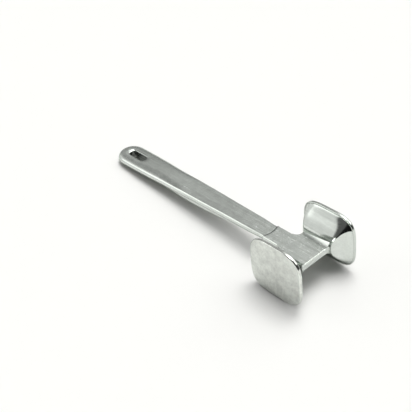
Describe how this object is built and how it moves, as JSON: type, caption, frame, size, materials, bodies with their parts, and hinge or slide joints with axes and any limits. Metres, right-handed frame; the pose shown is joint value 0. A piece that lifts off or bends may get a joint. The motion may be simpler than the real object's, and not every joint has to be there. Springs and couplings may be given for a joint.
{
  "type": "meat mallet",
  "caption": "Double-sided aluminium meat mallet: flared head with one smooth and one toothed striking plate, flat tapering handle with a dished hanging slot.",
  "frame": {"origin": "centre of the smooth striking plate's outer face", "axes": "+X along the handle from its hanging end towards the front of the head, +Y into the head from the smooth plate to the toothed plate, +Z out of the handle's flat top"},
  "size_m": [0.2392, 0.0647, 0.0472],
  "materials": {
    "cast_head": "polished cast flares, brushed web and neck",
    "plate_smooth": "smooth satin face, polished rim",
    "plate_toothed": "satin pyramid teeth, polished rim",
    "handle_top": "fine lengthwise brushing, polished bevels",
    "handle_bottom": "fine lengthwise brushing, polished sides",
    "tang": "milled bar",
    "dowels": "plain drawn"
  },
  "bodies": {
    "root": {"head_casting": "cast_head", "smooth_striking_plate": "plate_smooth", "toothed_striking_plate": "plate_toothed", "handle_top_shell": "handle_top", "handle_bottom_shell": "handle_bottom", "tang": "tang", "tang_dowels": "dowels"}
  },
  "joints": []
}
